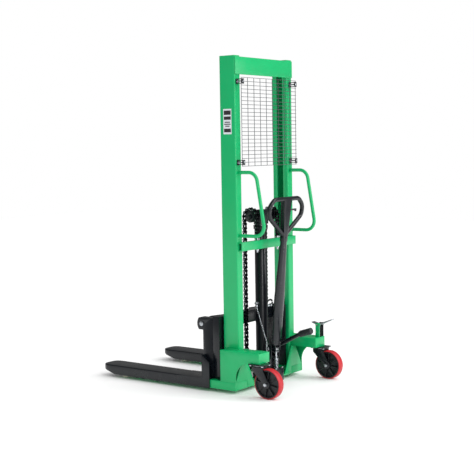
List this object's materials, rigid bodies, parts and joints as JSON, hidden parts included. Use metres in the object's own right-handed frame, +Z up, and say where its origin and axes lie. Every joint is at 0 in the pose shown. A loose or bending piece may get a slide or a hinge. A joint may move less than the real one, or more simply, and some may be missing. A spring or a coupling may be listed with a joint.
{
  "type": "walkie stacker",
  "caption": "Hand-pumped pedestrian stacker: green channel mast with mesh guard, black carriage and pallet forks over straddle legs, swivel casters, tiller and foot pump pedal",
  "frame": {"origin": "middle of the footprint box, on the floor the wheels stand on", "axes": "+Z up, +Y towards the fork tips, +X to the operator's right when facing the forks"},
  "size_m": [0.792, 1.436, 2.08],
  "materials": {
    "green_paint": "gloss",
    "black_paint": "gloss",
    "chain_steel": "oiled",
    "zinc_plate": "zinc plated",
    "chrome_rod": "polished",
    "bright_steel": "turned",
    "nylon": "cast nylon",
    "guard_wire": "satin",
    "grip_rubber": "moulded",
    "wheel_core": "painted",
    "red_tread": "cast polyurethane"
  },
  "bodies": {
    "root": {"mast_upright_left": "green_paint", "mast_upright_right": "green_paint", "top_beam": "green_paint", "middle_beam": "green_paint", "mesh_guard": "guard_wire", "guard_clips": "zinc_plate", "grab_handles": "green_paint", "base_side_left": "green_paint", "base_side_right": "green_paint", "caster_arm_left": "green_paint", "caster_arm_right": "green_paint", "leg_left": "green_paint", "leg_right": "green_paint", "floor_plate": "green_paint", "rear_gussets": "green_paint", "cylinder_tube": "black_paint", "cylinder_gland": "black_paint", "pump_block": "black_paint", "oil_tank": "black_paint", "pivot_cheeks": "black_paint", "pressure_pipe": "zinc_plate", "beam_chain_anchors": "zinc_plate", "caster_mounts": "black_paint", "brake_post": "green_paint", "brake_bracket": "black_paint", "chain_rear_runs": "chain_steel", "plunger_spring": "zinc_plate"},
    "carriage": {"carriage_frame": "black_paint", "fork_shaft": "bright_steel", "fork_left": "black_paint", "fork_right": "black_paint", "carriage_chain_anchors": "zinc_plate"},
    "piston": {"piston_rod": "chrome_rod", "crosshead": "black_paint", "chain_wraps": "chain_steel", "chain_front_runs": "chain_steel"},
    "sheave_left": {"chain_sheave_left": "black_paint"},
    "sheave_right": {"chain_sheave_right": "black_paint"},
    "load_roller_left": {"load_roller_left": "nylon"},
    "load_roller_right": {"load_roller_right": "nylon"},
    "pump_lever": {"pump_rocker": "black_paint", "pivot_pin_and_roller": "zinc_plate", "tiller_arm": "black_paint", "foot_pedal_lever": "black_paint", "foot_pedal_grip": "grip_rubber"},
    "trigger": {"release_trigger": "black_paint"},
    "plunger": {"pump_plunger": "zinc_plate"},
    "valve": {"valve_lever": "zinc_plate"},
    "brake_pedal": {"brake_pedal": "zinc_plate"},
    "brake_rod": {"brake_rod": "black_paint"},
    "roller_lower_left": {"mast_roller_lower_left": "bright_steel"},
    "roller_lower_right": {"mast_roller_lower_right": "bright_steel"},
    "roller_upper_left": {"mast_roller_upper_left": "bright_steel"},
    "roller_upper_right": {"mast_roller_upper_right": "bright_steel"},
    "swivel_left": {"caster_yoke_left": "black_paint"},
    "wheel_left": {"caster_hub_left": "wheel_core", "caster_tread_left": "red_tread"},
    "swivel_right": {"caster_yoke_right": "black_paint"},
    "wheel_right": {"caster_hub_right": "wheel_core", "caster_tread_right": "red_tread"}
  },
  "joints": [
    {"name": "fork_lift", "type": "slide", "parent": "root", "child": "carriage", "axis": [0, 0, 1], "range_m": [0, 1.515]},
    {"name": "piston_lift", "type": "slide", "parent": "root", "child": "piston", "axis": [0, 0, 1], "range_m": [0, 0.7576], "deforming": ["chain_front_runs", "chain_rear_runs"]},
    {"name": "sheave_left_turn", "type": "hinge", "parent": "piston", "child": "sheave_left", "pos_m": [-0.112, -0.339, 1.086], "axis": [1, 0, 0], "range_deg": [0, 905.2]},
    {"name": "sheave_right_turn", "type": "hinge", "parent": "piston", "child": "sheave_right", "pos_m": [0.112, -0.339, 1.086], "axis": [1, 0, 0], "range_deg": [0, 905.2]},
    {"name": "roller_lower_left_turn", "type": "hinge", "parent": "carriage", "child": "roller_lower_left", "pos_m": [-0.282, -0.319, 0.138], "axis": [1, 0, 0], "range_deg": [0, 1686.5]},
    {"name": "roller_lower_right_turn", "type": "hinge", "parent": "carriage", "child": "roller_lower_right", "pos_m": [0.282, -0.319, 0.138], "axis": [1, 0, 0], "range_deg": [0, 1686.5]},
    {"name": "roller_upper_left_turn", "type": "hinge", "parent": "carriage", "child": "roller_upper_left", "pos_m": [-0.282, -0.319, 0.424], "axis": [1, 0, 0], "range_deg": [-1686.5, 0]},
    {"name": "roller_upper_right_turn", "type": "hinge", "parent": "carriage", "child": "roller_upper_right", "pos_m": [0.282, -0.319, 0.424], "axis": [1, 0, 0], "range_deg": [-1686.5, 0]},
    {"name": "load_roller_left_turn", "type": "hinge", "parent": "root", "child": "load_roller_left", "pos_m": [-0.314, 0.548, 0.037], "axis": [1, 0, 0], "continuous": true},
    {"name": "load_roller_right_turn", "type": "hinge", "parent": "root", "child": "load_roller_right", "pos_m": [0.314, 0.548, 0.037], "axis": [1, 0, 0], "continuous": true},
    {"name": "swivel_left_turn", "type": "hinge", "parent": "root", "child": "swivel_left", "pos_m": [-0.348, -0.559, 0.194], "axis": [0, 0, 1], "continuous": true},
    {"name": "wheel_left_turn", "type": "hinge", "parent": "swivel_left", "child": "wheel_left", "pos_m": [-0.348, -0.625, 0.093], "axis": [1, 0, 0], "continuous": true},
    {"name": "swivel_right_turn", "type": "hinge", "parent": "root", "child": "swivel_right", "pos_m": [0.348, -0.559, 0.194], "axis": [0, 0, 1], "continuous": true},
    {"name": "wheel_right_turn", "type": "hinge", "parent": "swivel_right", "child": "wheel_right", "pos_m": [0.348, -0.625, 0.093], "axis": [1, 0, 0], "continuous": true},
    {"name": "tiller_swing", "type": "hinge", "parent": "root", "child": "pump_lever", "pos_m": [0, -0.413, 0.242], "axis": [1, 0, 0], "range_deg": [0, 60], "stiffness_Nm_per_rad": 16, "springref_deg": -51.57},
    {"name": "plunger_travel", "type": "slide", "parent": "root", "child": "plunger", "axis": [0, 0, -1], "range_m": [0, 0.0222], "deforming": ["plunger_spring"]},
    {"name": "trigger_pull", "type": "hinge", "parent": "pump_lever", "child": "trigger", "pos_m": [0.02, -0.53095, 1.12422], "axis": [0, -0.9946, -0.1037], "range_deg": [0, 14], "stiffness_Nm_per_rad": 0.8, "springref_deg": -22.92},
    {"name": "valve_turn", "type": "hinge", "parent": "root", "child": "valve", "pos_m": [0.049, -0.4, 0.082], "axis": [1, 0, 0], "range_deg": [0, 14.1]},
    {"name": "brake_press", "type": "hinge", "parent": "root", "child": "brake_pedal", "pos_m": [0.348, -0.553, 0.352], "axis": [1, 0, 0], "range_deg": [0, 14]},
    {"name": "brake_rod_travel", "type": "slide", "parent": "root", "child": "brake_rod", "axis": [0, 0, -1], "range_m": [0, 0.0031]}
  ],
  "couplings": [
    {"joint": "piston_lift", "follows": "fork_lift", "ratio": 0.5},
    {"joint": "sheave_left_turn", "follows": "fork_lift", "rad_per_m": 10.417},
    {"joint": "sheave_right_turn", "follows": "fork_lift", "rad_per_m": 10.417},
    {"joint": "roller_lower_left_turn", "follows": "fork_lift", "rad_per_m": 19.418},
    {"joint": "roller_lower_right_turn", "follows": "fork_lift", "rad_per_m": 19.418},
    {"joint": "roller_upper_left_turn", "follows": "fork_lift", "rad_per_m": -19.418},
    {"joint": "roller_upper_right_turn", "follows": "fork_lift", "rad_per_m": -19.418},
    {"joint": "plunger_travel", "follows": "tiller_swing", "m_per_rad": 0.021},
    {"joint": "valve_turn", "follows": "trigger_pull", "ratio": 1},
    {"joint": "brake_rod_travel", "follows": "brake_press", "m_per_rad": 0.01228}
  ]
}
